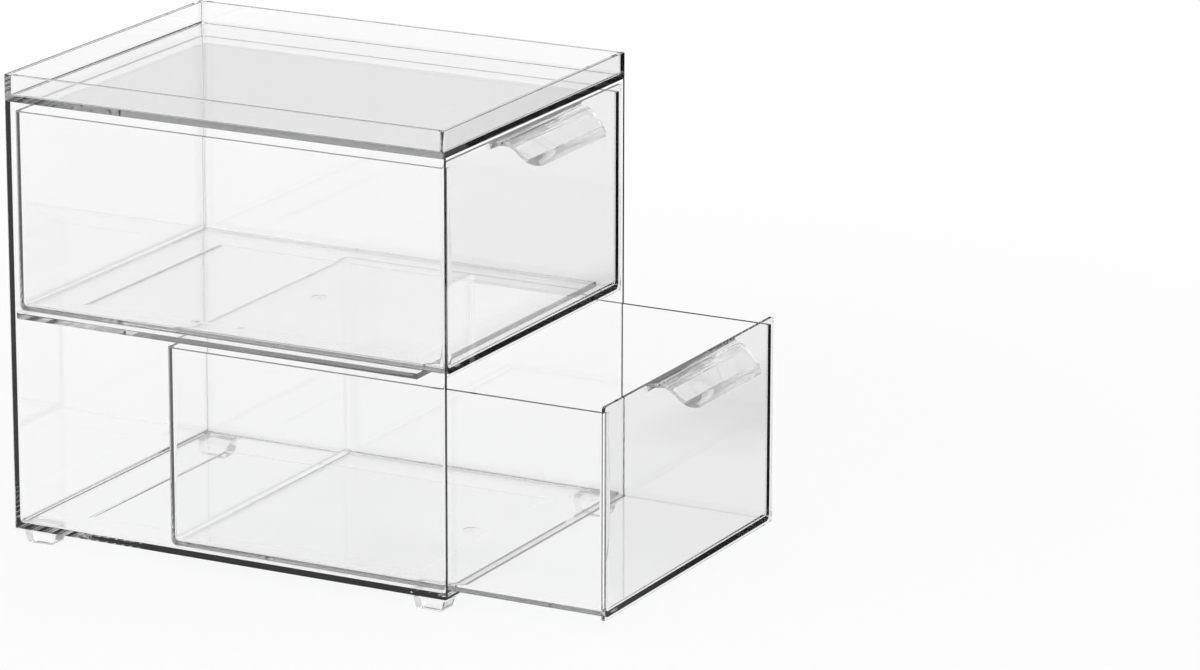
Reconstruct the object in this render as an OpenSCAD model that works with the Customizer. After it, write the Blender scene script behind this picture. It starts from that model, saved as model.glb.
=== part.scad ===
// Clear two-drawer storage box that stacks.
// An open-fronted housing has a middle shelf cemented between its walls, a rimmed
// tray on top and four corner feet. One drawer runs on its floor and one like it on
// the shelf. Each is pulled by a lip that curves out and down from its top edge.
// Units are millimetres. +Z is up, -Y is the front, +X is the right-hand side.

/* [Housing] */
// Outside width of the housing
housing_w = 187; // [160:1:210]
// Outside depth of the housing, front edge to back face
housing_d = 248; // [225:1:300]
// Height from the top of the floor to the top of the middle shelf
bay_pitch = 109.6; // [95:0.1:130]
// Thickness of the side walls and the back wall
wall_t = 2.2; // [2:0.1:3]
// Thickness of the floor and of the tray panel
panel_t = 2.4; // [2.2:0.1:2.8]
// Radius of the outside upright corners
corner_r = 1.2; // [0.8:0.1:2]
// Radius between the walls and the floor, inside
inner_r = 2; // [1.5:0.1:2.4]

/* [Middle shelf] */
// Distance from the front of the housing to the front edge of the shelf
shelf_setback = 16; // [10:0.5:30]
// Thickness of the shelf
shelf_t = 3; // [2.2:0.1:3.4]

/* [Recessed panels] */
// Plain margin between the panel edge and the recess under it
recess_margin = 27; // [22:1:35]
// Depth of the recess
recess_depth = 1; // [0.5:0.1:1.2]
// Width of the sloping border of the recess
recess_bevel = 3; // [1.5:0.5:5]

/* [Top tray] */
// Height of the rim above the tray panel
rim_h = 11.1; // [8:0.1:15]
// Thickness of the rim
rim_t = 2.8; // [2:0.1:3]

/* [Feet] */
// Height of a foot, plate included
foot_h = 8.3; // [7:0.1:9.5]
// Thickness of the plate that joins a foot to the housing
foot_plate_t = 1; // [0.8:0.1:2]

/* [Drawers] */
// Gap between the housing wall and the edge of a drawer front, on each side
front_gap = 0.8; // [0.4:0.1:1.2]
// Gap between the top of the lower drawer front and the level of the shelf's underside
shelf_gap = 0.3; // [0.3:0.1:4]
// Gap between the top of the upper drawer front and the tray panel
ceiling_gap = 2.2; // [1:0.1:4]
// Thickness of a drawer front
front_t = 1.8; // [1.6:0.1:2.4]
// Radius of the corners of a drawer front
front_r = 1.2; // [0.8:0.1:3]
// How far the drawer front stands proud of the tray at each side
front_lap = 1.6; // [0.8:0.1:2]
// How far the drawer front hangs below the tray
front_drop = 1; // [0.5:0.1:1.2]
// How far the tray walls stop short of the top of the drawer front
tray_step = 3.6; // [2.4:0.1:30]
// Thickness of the tray walls
tray_t = 2.1; // [1.6:0.1:2.4]
// Thickness of the tray floor
tray_floor_t = 2.3; // [1.8:0.1:2.4]
// Radius of the edges along the bottom and back of the tray, outside
tray_r = 3; // [2.6:0.1:4]
// Radius of the same edges inside
tray_inner_r = 2.6; // [1:0.1:3]
// Clearance between a drawer and the floor that it runs on
run_gap = 0.3; // [0.3:0.1:0.5]
// How far the lower drawer is pulled out
lower_pull = 86; // [0:1:180]
// How far the upper drawer is pulled out
upper_pull = 0; // [0:1:180]

/* [Pull lip] */
// Width of the lip clear of the round flares at its root
lip_w = 82; // [60:1:110]
// Radius of the flares that widen the lip where it leaves the drawer front
lip_root_r = 8; // [4:0.5:8.5]
// Width that the lip loses on each side towards its tip
lip_taper = 1.5; // [0:0.5:5]
// Radius of the two corners of the tip
lip_corner_r = 11; // [6:0.5:11]
// How far the lip stands out from the drawer front
lip_out = 21.8; // [20:0.1:24]
// How far the top of the lip drops from root to tip
lip_drop = 10.4; // [9:0.1:12]
// Thickness of the lip from its crest to its tip
lip_t = 1.6; // [1.4:0.1:2]

/* [Hidden] */
$fn = 48;

// Clear styrene as it looks over a white bench
shell_colour = [0.84, 0.90, 0.93, 0.45];
shelf_colour = [0.74, 0.86, 0.90, 0.55];
tray_colour = [0.80, 0.86, 0.94, 0.55];
foot_colour = [0.66, 0.74, 0.78, 0.75];
lower_colour = [0.70, 0.88, 0.80, 0.55];
upper_colour = [0.92, 0.86, 0.70, 0.55];

// Film of cement between two bonded faces
bond = 0.05;
// Overshoot of a cutting solid past the face that it opens
cut = 1;

bay_w = housing_w - 2 * wall_t;
bay_d = housing_d - wall_t;
// Radius of the edges along the foot of the rim, inside
rim_inner_r = 1.5;

shelf_w = bay_w - 2 * bond;
shelf_d = bay_d - shelf_setback - bond;
shelf_z = panel_t + bay_pitch - shelf_t;

// Room round the foot of the lower drawer front, in the rebate of the floor
rebate_clear = 0.5;

// A closed drawer: its front is just inside the housing, its back just clear of the wall
closed_setback = 0.6;
closed_back_gap = 0.6;
front_w = bay_w - 2 * front_gap;
front_h = bay_pitch - shelf_t - shelf_gap - run_gap + front_drop;
lower_drawer_z = panel_t + run_gap;
upper_drawer_z = lower_drawer_z + bay_pitch;
shell_h = upper_drawer_z - front_drop + front_h + ceiling_gap;
rebate_d = closed_setback + front_t + rebate_clear;
rebate_floor = lower_drawer_z - front_drop - rebate_clear;
tray_w = front_w - 2 * front_lap;
tray_d = bay_d - closed_setback - closed_back_gap;
tray_h = front_h - front_drop - tray_step;

// Mark left by the gate, under the middle of a tray
gate_r = 4;
gate_depth = 0.4;
gate_pip_r = 1;

// Pull lip section: a level root, then two arcs joined by a straight slope. The root
// is as thick as the slope is when measured straight down.
lip_crest_r = 9;
lip_flare_r = 10;
lip_slope = 42;
lip_end_slope = 12;
lip_fillet_r = 2.5;
lip_weld_r = 0.5;
// How far the round nose reaches past the end of the flare, in nose radii
lip_nose_share = 0.7;
lip_nose = lip_nose_share * lip_t / 2;
lip_root_t = lip_t / cos(lip_slope);
lip_run = (lip_drop - lip_crest_r * (1 - cos(lip_slope))
    - lip_flare_r * (cos(lip_end_slope) - cos(lip_slope))) / sin(lip_slope);
lip_lead = lip_out - lip_crest_r * sin(lip_slope) - lip_run * cos(lip_slope)
    - (lip_flare_r + lip_t / 2) * (sin(lip_slope) - sin(lip_end_slope))
    + (lip_t / 2) * sin(lip_slope) - lip_nose;

// Feet: a plate in each corner and a tapered block that drops inside a rim
foot_plate_x = 18.5;
foot_plate_y = 22;
foot_block_x = 13.8;
foot_block_y = 17.6;
foot_taper = 1.8;
// Play between a foot block and the rim of the unit below
foot_rim_clear = 0.4;
foot_inset = rim_t + foot_rim_clear;
foot_r = 2.5;
foot_toe_r = 0.6;

// The lower drawer's lip is the foremost point of the part, and the origin lies
// under the middle of the part's whole depth
front_reach = max(lower_pull, upper_pull) + lip_out - closed_setback;
front_y = (front_reach - housing_d) / 2;

module in_frame() {
    translate([0, front_y, foot_h])
        children();
}

module mirrored_x() {
    for (side = [0, 1])
        mirror([side, 0, 0])
            children();
}

// Upright block with four rounded corners, standing on z = 0 from y = 0 back
module corner_block(w, d, h, r) {
    linear_extrude(height = h)
        union() {
            translate([-w / 2 + r, 0])
                square([w - 2 * r, d]);
            translate([-w / 2, r])
                square([w, d - 2 * r]);
            for (x = [-w / 2 + r, w / 2 - r], y = [r, d - r])
                translate([x, y])
                    circle(r);
        }
}

// Tub with a square front end and round edges along its bottom and back corners
module tub(w, d, h, r) {
    translate([-w / 2 + r, 0, 0])
        cube([w - 2 * r, d - r, h]);
    translate([-w / 2, 0, r])
        cube([w, d - r, h - r]);
    translate([-w / 2 + r, 0, r])
        cube([w - 2 * r, d, h - r]);
    translate([-w / 2 + r, d - r, r])
        rotate([0, 90, 0])
            cylinder(r = r, h = w - 2 * r);
    mirrored_x()
        translate([w / 2 - r, 0, r]) {
            rotate([-90, 0, 0])
                cylinder(r = r, h = d - r);
            translate([0, d - r, 0])
                cylinder(r = r, h = h - r);
            translate([0, d - r, 0])
                sphere(r);
        }
}

// The same with round edges at the front end too, for the inside of a tray
module pocket(w, d, h, r) {
    translate([0, r, 0])
        tub(w, d - r, h, r);
    mirror([0, 1, 0])
        translate([0, -d + r, 0])
            tub(w, d - r, h, r);
}

// Shallow recess with sloping borders, cut upwards from z = 0
module bevelled_recess(w, d) {
    intersection() {
        rotate([90, 0, 0])
            translate([0, 0, -d - cut])
                linear_extrude(height = d + 2 * cut)
                    polygon(recess_section(w));
        rotate([90, 0, 90])
            translate([d / 2, 0, -w / 2 - cut])
                linear_extrude(height = w + 2 * cut)
                    polygon(recess_section(d));
    }
}

function recess_section(span) = [
    [-span / 2, -cut], [span / 2, -cut], [span / 2, 0],
    [span / 2 - recess_bevel, recess_depth], [-span / 2 + recess_bevel, recess_depth],
    [-span / 2, 0]
];

// Floor, two side walls and back wall in one moulding, open at the front and top
module housing_shell() {
    color(shell_colour)
        in_frame()
            difference() {
                corner_block(housing_w, housing_d, shell_h, corner_r);
                translate([0, -cut, panel_t])
                    tub(bay_w, bay_d + cut, shell_h, inner_r);
                translate([-bay_w / 2, -cut, rebate_floor])
                    cube([bay_w, cut + rebate_d, panel_t + inner_r]);
                translate([0, recess_margin, 0])
                    bevelled_recess(housing_w - 2 * recess_margin, housing_d - 2 * recess_margin);
            }
}

// Plate between the two bays, cemented to the walls. Only its back corners are round.
module middle_shelf() {
    color(shelf_colour)
        in_frame()
            translate([0, shelf_setback, shelf_z])
                difference() {
                    union() {
                        corner_block(shelf_w, shelf_d, shelf_t, inner_r);
                        translate([-shelf_w / 2, 0, 0])
                            cube([shelf_w, 2 * inner_r, shelf_t]);
                    }
                    translate([0, recess_margin - shelf_setback, 0])
                        bevelled_recess(housing_w - 2 * recess_margin, housing_d - 2 * recess_margin);
                }
}

// Lid of the housing, with a rim that makes it a tray and takes the feet above
module top_tray() {
    color(tray_colour)
        in_frame()
            translate([0, 0, shell_h + bond])
                difference() {
                    corner_block(housing_w, housing_d, panel_t + rim_h, corner_r);
                    translate([0, rim_t, panel_t])
                        pocket(housing_w - 2 * rim_t, housing_d - 2 * rim_t, rim_h + cut, rim_inner_r);
                }
}

// One foot in the front left corner, hanging from z = 0
module foot() {
    translate([-housing_w / 2, 0, -foot_plate_t])
        translate([foot_plate_x / 2, 0, 0])
            corner_block(foot_plate_x, foot_plate_y, foot_plate_t - bond, corner_r);
    translate([-housing_w / 2 + foot_inset, foot_inset, -foot_h])
        intersection() {
            rotate([90, 0, 90])
                linear_extrude(height = foot_block_x)
                    tapered_section(foot_block_y);
            translate([0, foot_block_y, 0])
                rotate([90, 0, 0])
                    linear_extrude(height = foot_block_y)
                        tapered_section(foot_block_x);
            translate([foot_block_x / 2, 0, 0])
                corner_block(foot_block_x, foot_block_y, foot_h, foot_r);
        }
}

// Section of the foot block: narrower at the bottom, where its corners are round
module tapered_section(span) {
    block_h = foot_h - foot_plate_t;
    union() {
        polygon([
            [0, block_h], [foot_taper - foot_toe_r * foot_taper / block_h, foot_toe_r],
            [foot_taper + foot_toe_r, 0], [span - foot_taper - foot_toe_r, 0],
            [span - foot_taper + foot_toe_r * foot_taper / block_h, foot_toe_r], [span, block_h]
        ]);
        for (x = [foot_taper + foot_toe_r, span - foot_taper - foot_toe_r])
            translate([x, foot_toe_r])
                circle(foot_toe_r);
    }
}

module foot_front_left() {
    color(foot_colour)
        in_frame()
            foot();
}

module foot_front_right() {
    color(foot_colour)
        in_frame()
            mirror([1, 0, 0])
                foot();
}

module foot_back_left() {
    color(foot_colour)
        in_frame()
            translate([0, housing_d, 0])
                mirror([0, 1, 0])
                    foot();
}

module foot_back_right() {
    color(foot_colour)
        in_frame()
            translate([0, housing_d, 0])
                rotate(180)
                    foot();
}

// Outline of a drawer front, standing on y = 0
module front_outline() {
    for (x = [-front_w / 2 + front_r, front_w / 2 - front_r], y = [front_r, front_h - front_r])
        translate([x, y])
            circle(front_r);
    translate([-front_w / 2 + front_r, 0])
        square([front_w - 2 * front_r, front_h]);
    translate([-front_w / 2, front_r])
        square([front_w, front_h - 2 * front_r]);
}

// Band of a ring between two slopes, both measured from straight up
module ring_band(r_in, r_out, from, to) {
    intersection() {
        difference() {
            circle(r_out);
            circle(r_in);
        }
        polygon([[0, 0], 2 * r_out * [sin(from), cos(from)], 2 * r_out * [sin(to), cos(to)]]);
    }
}

// Section of the pull lip: x runs out from the drawer front and y runs up.
// It leaves level, rolls over a crest, slopes down and flares out at the tip. Two
// small circles inside it weld the lengths that only meet edge to edge.
module lip_section() {
    crest = [lip_lead, -lip_crest_r];
    slope_top = crest + lip_crest_r * [sin(lip_slope), cos(lip_slope)];
    slope_end = slope_top + lip_run * [cos(lip_slope), -sin(lip_slope)];
    flare = slope_end + lip_flare_r * [sin(lip_slope), cos(lip_slope)];
    tip = flare - (lip_flare_r + lip_t / 2) * [sin(lip_end_slope), cos(lip_end_slope)];
    half = lip_t / 2 * [sin(lip_slope), cos(lip_slope)];
    union() {
        translate([-front_t / 2, -lip_root_t])
            square([lip_lead + front_t / 2, lip_root_t]);
        translate(crest)
            intersection() {
                difference() {
                    circle(lip_crest_r);
                    translate([0, -lip_root_t])
                        circle(lip_crest_r);
                }
                square([lip_crest_r * sin(lip_slope), lip_crest_r]);
            }
        translate(slope_top)
            rotate(-lip_slope)
                translate([0, -lip_t])
                    square([lip_run, lip_t]);
        translate(flare)
            rotate(180)
                ring_band(lip_flare_r, lip_flare_r + lip_t, lip_end_slope, lip_slope);
        translate(tip)
            circle(lip_t / 2);
        for (joint = [[lip_lead, -lip_root_t / 2], slope_end - half])
            translate(joint)
                circle(lip_weld_r);
        difference() {
            translate([0, -lip_root_t - lip_fillet_r])
                square([lip_fillet_r, lip_fillet_r + lip_root_t / 2]);
            translate([lip_fillet_r, -lip_root_t - lip_fillet_r])
                circle(lip_fillet_r);
        }
    }
}

// Plan of the lip: flared at the root, a little narrower at the tip, with round corners
module lip_plan() {
    edge_angle = atan2(lip_taper, lip_out - lip_root_r);
    corner_x = lip_w / 2 - lip_taper - lip_corner_r * (1 - sin(edge_angle)) / cos(edge_angle);
    corner_y = lip_out - lip_corner_r;
    side = lip_corner_r * [cos(edge_angle), sin(edge_angle)];
    union() {
        polygon([
            [-lip_w / 2, -front_t], [lip_w / 2, -front_t], [lip_w / 2, lip_root_r],
            [corner_x, corner_y] + side, [corner_x, lip_out],
            [-corner_x, lip_out], [-corner_x, corner_y] + [-side.x, side.y],
            [-lip_w / 2, lip_root_r]
        ]);
        for (x = [-corner_x, corner_x])
            translate([x, corner_y])
                circle(lip_corner_r);
        difference() {
            translate([-lip_w / 2 - lip_root_r, -front_t])
                square([lip_w + 2 * lip_root_r, front_t + lip_root_r]);
            for (x = [-lip_w / 2 - lip_root_r, lip_w / 2 + lip_root_r])
                translate([x, lip_root_r])
                    circle(lip_root_r);
        }
    }
}

// Pull lip with the top of its root at z = 0 against the face y = 0
module pull_lip() {
    root_w = lip_w + 2 * lip_root_r;
    intersection() {
        translate([-root_w / 2, 0, 0])
            rotate([90, 0, -90])
                mirror([0, 0, 1])
                    linear_extrude(height = root_w)
                        lip_section();
        translate([0, 0, -lip_drop - lip_root_t - cut])
            mirror([0, 1, 0])
                linear_extrude(height = lip_drop + lip_root_t + 2 * cut)
                    lip_plan();
    }
}

// One drawer in one moulding, standing on the underside of its tray
module drawer() {
    translate([0, front_t, -front_drop])
        rotate([90, 0, 0])
            linear_extrude(height = front_t)
                front_outline();
    difference() {
        translate([0, front_t / 2, 0])
            tub(tray_w, tray_d - front_t / 2, tray_h, tray_r);
        translate([0, front_t, tray_floor_t])
            pocket(tray_w - 2 * tray_t, tray_d - front_t - tray_t, front_h, tray_inner_r);
        translate([0, tray_d / 2, -cut])
            cylinder(r = gate_r, h = cut + gate_depth);
    }
    translate([0, tray_d / 2, 0])
        cylinder(r = gate_pip_r, h = tray_floor_t / 2);
    translate([0, 0, front_h - front_drop])
        pull_lip();
}

module lower_drawer() {
    color(lower_colour)
        in_frame()
            translate([0, closed_setback - lower_pull, lower_drawer_z])
                drawer();
}

module upper_drawer() {
    color(upper_colour)
        in_frame()
            translate([0, closed_setback - upper_pull, upper_drawer_z])
                drawer();
}

housing_shell();
middle_shelf();
top_tray();
foot_front_left();
foot_front_right();
foot_back_left();
foot_back_right();
lower_drawer();
upper_drawer();
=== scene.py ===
"""Clear stackable drawer box: clear styrene mouldings on a white studio floor."""
import math

import bpy
from mathutils import Matrix, Vector

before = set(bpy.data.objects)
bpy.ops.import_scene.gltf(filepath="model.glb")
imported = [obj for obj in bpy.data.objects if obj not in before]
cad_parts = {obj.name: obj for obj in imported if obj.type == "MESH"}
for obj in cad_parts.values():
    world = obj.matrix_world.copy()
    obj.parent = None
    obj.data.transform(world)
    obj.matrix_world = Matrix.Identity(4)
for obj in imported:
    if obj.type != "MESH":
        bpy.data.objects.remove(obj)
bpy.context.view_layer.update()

# ------------------------------------------------------------------ node helpers

WHITE, BLACK = (1, 1, 1, 1), (0, 0, 0, 1)
# A Mix node's sockets for two colours and their result
MIX_A, MIX_B, MIX_RESULT = 6, 7, 2


class Graph:
    """A small helper that adds shader nodes to a material or world and wires them."""

    def __init__(self, owner):
        owner.use_nodes = True
        self.tree = owner.node_tree
        self.tree.nodes.clear()

    def add(self, kind, inputs=(), **props):
        """Each input is either a value or the output socket that feeds it."""
        node = self.tree.nodes.new(kind)
        for key, value in props.items():
            setattr(node, key, value)
        for key, value in dict(inputs).items():
            if isinstance(value, bpy.types.NodeSocket):
                self.tree.links.new(value, node.inputs[key])
            else:
                node.inputs[key].default_value = value
        return node

    def math(self, operation, a, b=0.0):
        return self.add("ShaderNodeMath", {0: a, 1: b}, operation=operation).outputs[0]

    def mix(self, fac, first, second):
        """The first shader where fac is 0, the second where it is 1."""
        return self.add("ShaderNodeMixShader", {0: fac, 1: first, 2: second}).outputs[0]

    def shader(self, kind, colour, **inputs):
        return self.add(kind, {"Color": colour, **inputs}).outputs[0]

    def ramp(self, fac, stops, interpolation="LINEAR"):
        """Stops are (place, grey) or (place, colour)."""
        node = self.add("ShaderNodeValToRGB", {"Fac": fac})
        ramp = node.color_ramp
        ramp.interpolation = interpolation
        while len(ramp.elements) < len(stops):
            ramp.elements.new(0.5)
        for element, (place, value) in zip(ramp.elements, stops):
            element.position = place
            element.color = (*value, 1) if isinstance(value, tuple) else (value, value, value, 1)
        return node.outputs["Color"]


def noise(g, coords, scale, detail, stretch):
    """Noise over the object's own coordinates, in features per metre."""
    place = g.add("ShaderNodeMapping", {"Vector": coords, "Scale": stretch}).outputs[0]
    texture = g.add("ShaderNodeTexNoise", {"Vector": place, "Scale": scale, "Detail": detail})
    return texture.outputs["Fac"]


# ------------------------------------------------------------------ clear plastic

STYRENE_IOR = 1.55
TINT = (0.998, 0.998, 0.998)
FLOW_SHADE = 0.992
# Colour by the flow noise
SHADE = [(0.35, tuple(c * FLOW_SHADE for c in TINT)), (0.65, TINT)]
# What light turns to in the thickness, the sooner the denser the plastic is set
DEPTH_COLOUR = (0.3, 0.31, 0.32, 1)
WALL_DENSITY, DRAWER_DENSITY, TRAY_DENSITY = 2.0, 3.0, 7.0
# What a shadow or diffuse ray keeps at each face
SHADOW_COLOUR = (0.955, 0.96, 0.965, 1)
# Roughness of a clean face, and how many times as rough a light and a deep scuff are
POLISH = 0.012
LIGHT_SCUFF, DEEP_SCUFF = 1.6, 4
# Roughness by the scuff noise
HAZE = [(0.45, POLISH), (0.62, POLISH * LIGHT_SCUFF), (0.74, POLISH * DEEP_SCUFF)]
# Features per metre, detail and stretch along each axis
FLOW = (9.0, 1.5, (1, 1, 0.45))
SCUFFS = (420.0, 3.0, (1, 0.25, 1))
# Height of the scuffs beside that of the flow
SCUFF_HEIGHT = 0.004
WAVE, FOOT_WAVE = 0.02, 0.03
WAVE_DISTANCE = 0.01
# Each seed moves the noise this many times its own value along x, y and z
SEED_STEPS = (1.0, 0.7, 0.3)
# The pull lip stands this far out from the drawer's front, in metres
LIP_REACH = 0.0212
# Share of straight see-through on the lip's top and underside
LIP_SHEER = 0.22
# A face whose normal is turned further than this to the side is one of the lip's ends
LIP_END_TURN = 0.5


def clear_plastic(name, density, seed, wave=WAVE, lip_end=None):
    """Moulded clear styrene: polished, faintly wavy, and darker where light runs along the wall."""
    mat = bpy.data.materials.new(name)
    g = Graph(mat)
    coords = g.add("ShaderNodeTexCoord").outputs["Object"]
    place = g.add("ShaderNodeMapping", {
        "Vector": coords, "Location": tuple(seed * step for step in SEED_STEPS),
    }).outputs[0]
    flow = noise(g, place, *FLOW)
    scuff = noise(g, place, *SCUFFS)
    height = g.math("ADD", flow, g.math("MULTIPLY", scuff, SCUFF_HEIGHT))
    bump = g.add("ShaderNodeBump", {"Height": height, "Strength": wave, "Distance": WAVE_DISTANCE})
    glass = g.add("ShaderNodeBsdfPrincipled", {
        "Base Color": g.ramp(flow, SHADE), "Roughness": g.ramp(scuff, HAZE),
        "Normal": bump.outputs["Normal"], "IOR": STYRENE_IOR, "Transmission Weight": 1.0,
    }).outputs[0]
    rays = g.add("ShaderNodeLightPath").outputs
    soft = g.math("MAXIMUM", rays["Is Shadow Ray"], rays["Is Diffuse Ray"])
    surface = g.mix(soft, glass, g.shader("ShaderNodeBsdfTransparent", SHADOW_COLOUR))
    if lip_end is not None:
        # For the look: refraction alone leaves the curved lip darker than in the photograph
        depth = g.add("ShaderNodeSeparateXYZ", {0: coords}).outputs["Y"]
        normal = g.add("ShaderNodeTexCoord").outputs["Normal"]
        sideways = g.math("ABSOLUTE", g.add("ShaderNodeSeparateXYZ", {0: normal}).outputs["X"])
        on_lip = g.math("LESS_THAN", depth, lip_end)
        not_end = g.math("LESS_THAN", sideways, LIP_END_TURN)
        sheer = g.math("MULTIPLY", g.math("MULTIPLY", on_lip, not_end), LIP_SHEER)
        surface = g.mix(sheer, surface, g.shader("ShaderNodeBsdfTransparent", WHITE))
    volume = g.shader("ShaderNodeVolumeAbsorption", DEPTH_COLOUR, Density=density)
    g.add("ShaderNodeOutputMaterial", {"Surface": surface, "Volume": volume})
    return mat


def drawer_plastic(node, seed):
    """Each drawer's lip ends where its front begins."""
    front = min(v.co.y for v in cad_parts[node].data.vertices) + LIP_REACH
    return clear_plastic("clear_" + node, DRAWER_DENSITY, seed, lip_end=front)


HOUSING = clear_plastic("clear_housing", WALL_DENSITY, seed=0.3)
SHELF = clear_plastic("clear_shelf", WALL_DENSITY, seed=1.9)
TRAY = clear_plastic("clear_tray", TRAY_DENSITY, seed=2.7)
FOOT = clear_plastic("clear_foot", WALL_DENSITY, seed=4.1, wave=FOOT_WAVE)

MATERIALS = {
    "housing_shell": HOUSING, "middle_shelf": SHELF, "top_tray": TRAY,
    "foot_front_left": FOOT, "foot_front_right": FOOT,
    "foot_back_left": FOOT, "foot_back_right": FOOT,
    "lower_drawer": drawer_plastic("lower_drawer", seed=5.3),
    "upper_drawer": drawer_plastic("upper_drawer", seed=7.9),
}

# ------------------------------------------------------------------ edges

# The two plates whose edges leave room for a rounding. The other mouldings keep the CAD
# mesh: their lip and corner facets are too fine for it and for a wider weld.
ROUNDED = ("middle_shelf", "top_tray")
# The width asked for, in metres: the bevel's overlap clamp leaves about a third of it
EDGE_ROUND = 0.0003
EDGE_SEGMENTS = 2
EDGE_ANGLE = math.radians(40)
FLAT_ANGLE = math.radians(0.5)
PLATE_WELD = 1e-6
# Vertices that coordinate rounding has split lie this close, in metres, and no true edge
# is as short
MOULDING_WELD = 1.3e-8


def join_faces(obj, gap):
    """The loaded mesh has a vertex for each face at an edge: make them one."""
    weld = obj.modifiers.new("weld", "WELD")
    weld.merge_threshold = gap


def round_edges(obj):
    """Moulded plate edges are never knife-sharp: merge the flat faces and round what is left."""
    flat = obj.modifiers.new("flat", "DECIMATE")
    flat.decimate_type = "DISSOLVE"
    flat.angle_limit = FLAT_ANGLE
    bevel = obj.modifiers.new("edges", "BEVEL")
    bevel.width = EDGE_ROUND
    bevel.segments = EDGE_SEGMENTS
    bevel.limit_method = "ANGLE"
    bevel.angle_limit = EDGE_ANGLE
    bevel.use_clamp_overlap = True
    bevel.harden_normals = True


for name, mat in MATERIALS.items():
    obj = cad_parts[name]
    for slot in obj.material_slots:
        slot.material = mat
    if name in ROUNDED:
        join_faces(obj, PLATE_WELD)
        round_edges(obj)
    else:
        join_faces(obj, MOULDING_WELD)

# ------------------------------------------------------------------ studio

FLOOR_R = 6.0
FLOOR_SIDES = 64
PAPER = (0.86, 0.86, 0.86, 1)
# Share of lit paper in the white floor, by metres from the middle: it carries the shadow
SHADOW_SHARE = [(0.25, 0.2), (0.9, 0.0)]
# Light that has bounced this many times inside the plastic starts to fade, and is gone
# after that many: the walls seen end-on go black, as real clear mouldings do
FADE_FROM, FADE_TO = 20, 23
BOUNCE_SPAN = 40.0
# What outside faces mirror in the floor, by metres to the right of a point this far left
# of the middle: side faces find the pale end, the drawer fronts the dark one
CARD_START = 0.5
CARDS = [(0.3, 0.9), (0.6, 0.06)]
# A dark strip on the floor where the foot of the upper front is mirrored, by metres
# ahead of the middle and to its right
STRIP_AHEAD = [(0.215, 0.0), (0.24, 1.0), (0.285, 1.0), (0.31, 0.0)]
STRIP_ASIDE = [(0.2, 0.0), (0.27, 1.0)]
# With fewer transmissions than this, a ray has been through one plate at most
ONE_PLATE = 3.5
# The surround by height, from level at 0 to overhead at 1: what outside faces mirror,
# and what is seen through the plastic, where rounded edges bend the view to a dark ceiling
ROOM = [(0.0, 0.8), (0.15, 0.6), (0.3, 0.35), (0.48, 0.85), (1.0, 0.95)]
CEILING = [(0.6, 1.0), (0.75, 0.08), (1.0, 0.08)]
ROOM_LIGHT = 0.62
# Share that the surround loses for a ray that was reflected on its way
MIRROR_LOSS = 0.1
LAMP_TARGET = (0, 0, 0.1)
# Place and side in metres, and power in watts
LAMPS = {
    "key": ((-1.6, -0.6, 2.2), 1.4, 34),
    "fill": ((1.4, -2.2, 1.6), 1.0, 12),
}


def ray_kinds(g):
    """How a ray arrived, each from 0 to 1.

    seen: straight from the camera or through the plastic. mirrored: off an outside face.
    kept: not yet faded. bounced: reflected on the way. shallow: through one plate at most.
    """
    rays = g.add("ShaderNodeLightPath").outputs
    through = rays["Is Transmission Ray"]
    share = g.math("DIVIDE", rays["Ray Depth"], BOUNCE_SPAN)
    outside = g.math("SUBTRACT", 1.0, through)
    return {
        "seen": g.math("MAXIMUM", rays["Is Camera Ray"], through),
        "mirrored": g.math("MULTIPLY", rays["Is Glossy Ray"], outside),
        "kept": g.ramp(share, [(FADE_FROM / BOUNCE_SPAN, 1.0), (FADE_TO / BOUNCE_SPAN, 0.0)]),
        "bounced": g.math("MINIMUM", rays["Glossy Depth"], 1.0),
        "shallow": g.math("LESS_THAN", rays["Transmission Depth"], ONE_PLATE),
    }


def floor_material():
    """White where it is seen, lit paper for the light itself, and cards where it is mirrored."""
    mat = bpy.data.materials.new("studio_floor")
    g = Graph(mat)
    coords = g.add("ShaderNodeTexCoord").outputs["Object"]
    spot = g.add("ShaderNodeSeparateXYZ", {0: coords}).outputs
    dist = g.add("ShaderNodeVectorMath", {0: coords}, operation="LENGTH").outputs["Value"]
    ray = ray_kinds(g)
    lit = g.shader("ShaderNodeBsdfDiffuse", PAPER)
    white = g.shader("ShaderNodeEmission", WHITE, Strength=1.0)
    black = g.shader("ShaderNodeEmission", BLACK, Strength=0.0)
    paper = g.mix(g.ramp(dist, SHADOW_SHARE, "EASE"), white, lit)
    direct = g.mix(ray["seen"], lit, g.mix(ray["kept"], black, paper))
    cards = g.ramp(g.math("ADD", spot["X"], CARD_START), CARDS, "EASE")
    ahead = g.ramp(g.math("MULTIPLY", spot["Y"], -1.0), STRIP_AHEAD)
    strip = g.math("MULTIPLY", ahead, g.ramp(spot["X"], STRIP_ASIDE))
    turned = g.math("MULTIPLY", g.math("MULTIPLY", ray["bounced"], ray["shallow"]), strip)
    on_card = g.math("MAXIMUM", ray["mirrored"], turned)
    card = g.shader("ShaderNodeEmission", cards, Strength=1.0)
    g.add("ShaderNodeOutputMaterial", {"Surface": g.mix(on_card, direct, card)})
    return mat


def build_floor():
    mesh = bpy.data.meshes.new("studio_floor")
    angles = [2 * math.pi * k / FLOOR_SIDES for k in range(FLOOR_SIDES)]
    ring = [(FLOOR_R * math.cos(a), FLOOR_R * math.sin(a), 0.0) for a in angles]
    mesh.from_pydata(ring, [], [list(range(FLOOR_SIDES))])
    mesh.materials.append(floor_material())
    obj = bpy.data.objects.new("studio_floor", mesh)
    bpy.context.collection.objects.link(obj)


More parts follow.
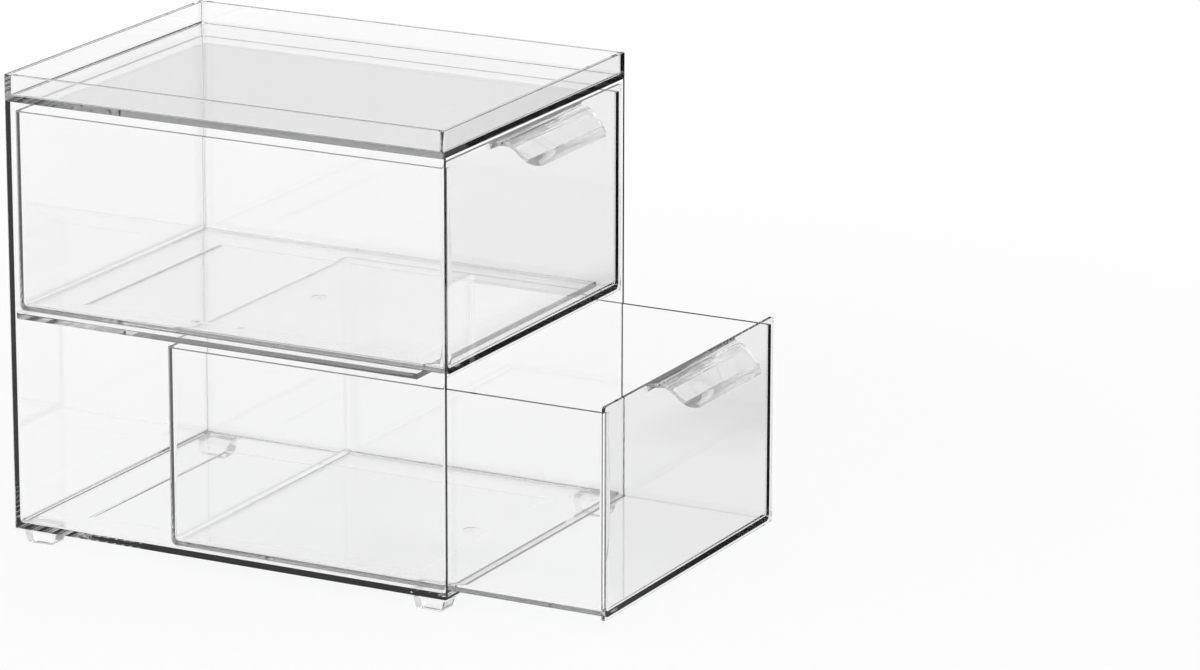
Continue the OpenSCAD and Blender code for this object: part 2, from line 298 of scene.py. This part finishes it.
def build_world():
    world = bpy.data.worlds.new("studio")
    bpy.context.scene.world = world
    g = Graph(world)
    coords = g.add("ShaderNodeTexCoord").outputs["Generated"]
    up = g.add("ShaderNodeSeparateXYZ", {0: coords}).outputs["Z"]
    ray = ray_kinds(g)
    unmirrored = g.math("SUBTRACT", 1.0, g.math("MULTIPLY", ray["bounced"], MIRROR_LOSS))
    surround = g.add("ShaderNodeMix", {
        "Factor": 1.0, MIX_A: g.ramp(up, CEILING, "EASE"),
        MIX_B: g.math("MULTIPLY", ray["kept"], unmirrored),
    }, data_type="RGBA", blend_type="MULTIPLY").outputs[MIX_RESULT]
    light = g.shader("ShaderNodeBackground", WHITE, Strength=ROOM_LIGHT)
    view = g.shader("ShaderNodeBackground", surround, Strength=1.0)
    mirror = g.shader("ShaderNodeBackground", g.ramp(up, ROOM, "EASE"), Strength=1.0)
    direct = g.mix(ray["seen"], light, view)
    g.add("ShaderNodeOutputWorld", {"Surface": g.mix(ray["mirrored"], direct, mirror)})


def area_lamp(name, place, size, power):
    """A square soft box aimed at the object."""
    data = bpy.data.lights.new(name, "AREA")
    data.size = size
    data.energy = power
    obj = bpy.data.objects.new(name, data)
    obj.location = place
    aim = Vector(LAMP_TARGET) - Vector(place)
    obj.rotation_euler = aim.to_track_quat("-Z", "Y").to_euler()
    bpy.context.collection.objects.link(obj)


build_floor()
build_world()
for lamp, (place, side, power) in LAMPS.items():
    area_lamp(lamp, place, side, power)

# ------------------------------------------------------------------ camera

CAM_AZIMUTH = math.radians(62.33)
CAM_DROP = math.radians(15.92)
CAM_ROLL = math.radians(0.13)
FOCAL_PX = 6200.0
IMAGE_W, IMAGE_H = 1200.0, 670.0
CENTRE_PX = (601.5, 335.5)
SCALE_PX_PER_MM = 2.063
MM_PER_M = 1000
# The housing's lower front left corner, in the photograph and in metres
CORNER_PX = (445.8, 597.8)
CORNER = Vector((-0.0935, -0.0704, 0.0097))
SENSOR_MM = 36.0
CLIP_M = (0.1, 50.0)


def build_camera():
    """A long lens placed so that the housing's lower front left corner lands on its pixel."""
    forward = Vector((math.sin(CAM_AZIMUTH) * math.cos(CAM_DROP),
                      math.cos(CAM_AZIMUTH) * math.cos(CAM_DROP), -math.sin(CAM_DROP)))
    right = Vector((math.cos(CAM_AZIMUTH), -math.sin(CAM_AZIMUTH), 0))
    down = forward.cross(right)
    c, s = math.cos(CAM_ROLL), math.sin(CAM_ROLL)
    right, down = c * right - s * down, s * right + c * down
    reach = FOCAL_PX / SCALE_PX_PER_MM / MM_PER_M
    u = (CORNER_PX[0] - CENTRE_PX[0]) / FOCAL_PX
    v = (CORNER_PX[1] - CENTRE_PX[1]) / FOCAL_PX
    place = CORNER - reach * (forward + u * right + v * down)
    data = bpy.data.cameras.new("camera")
    data.sensor_fit = "HORIZONTAL"
    data.sensor_width = SENSOR_MM
    data.lens = FOCAL_PX / IMAGE_W * SENSOR_MM
    data.shift_x = (IMAGE_W / 2 - CENTRE_PX[0]) / IMAGE_W
    data.shift_y = (CENTRE_PX[1] - IMAGE_H / 2) / IMAGE_W
    data.clip_start, data.clip_end = CLIP_M
    obj = bpy.data.objects.new("camera", data)
    turn = Matrix((right, -down, -forward)).transposed().to_4x4()
    obj.matrix_world = Matrix.Translation(place) @ turn
    bpy.context.collection.objects.link(obj)
    bpy.context.scene.camera = obj


build_camera()

# One bounce more than the fade needs, and room for the clear faces that shadow rays cross
MOST_BOUNCES = FADE_TO + 1
MOST_CLEAR_FACES = 40

scene = bpy.context.scene
scene.view_settings.view_transform = "Standard"
scene.cycles.max_bounces = MOST_BOUNCES
scene.cycles.transmission_bounces = MOST_BOUNCES
scene.cycles.glossy_bounces = MOST_BOUNCES
scene.cycles.transparent_max_bounces = MOST_CLEAR_FACES
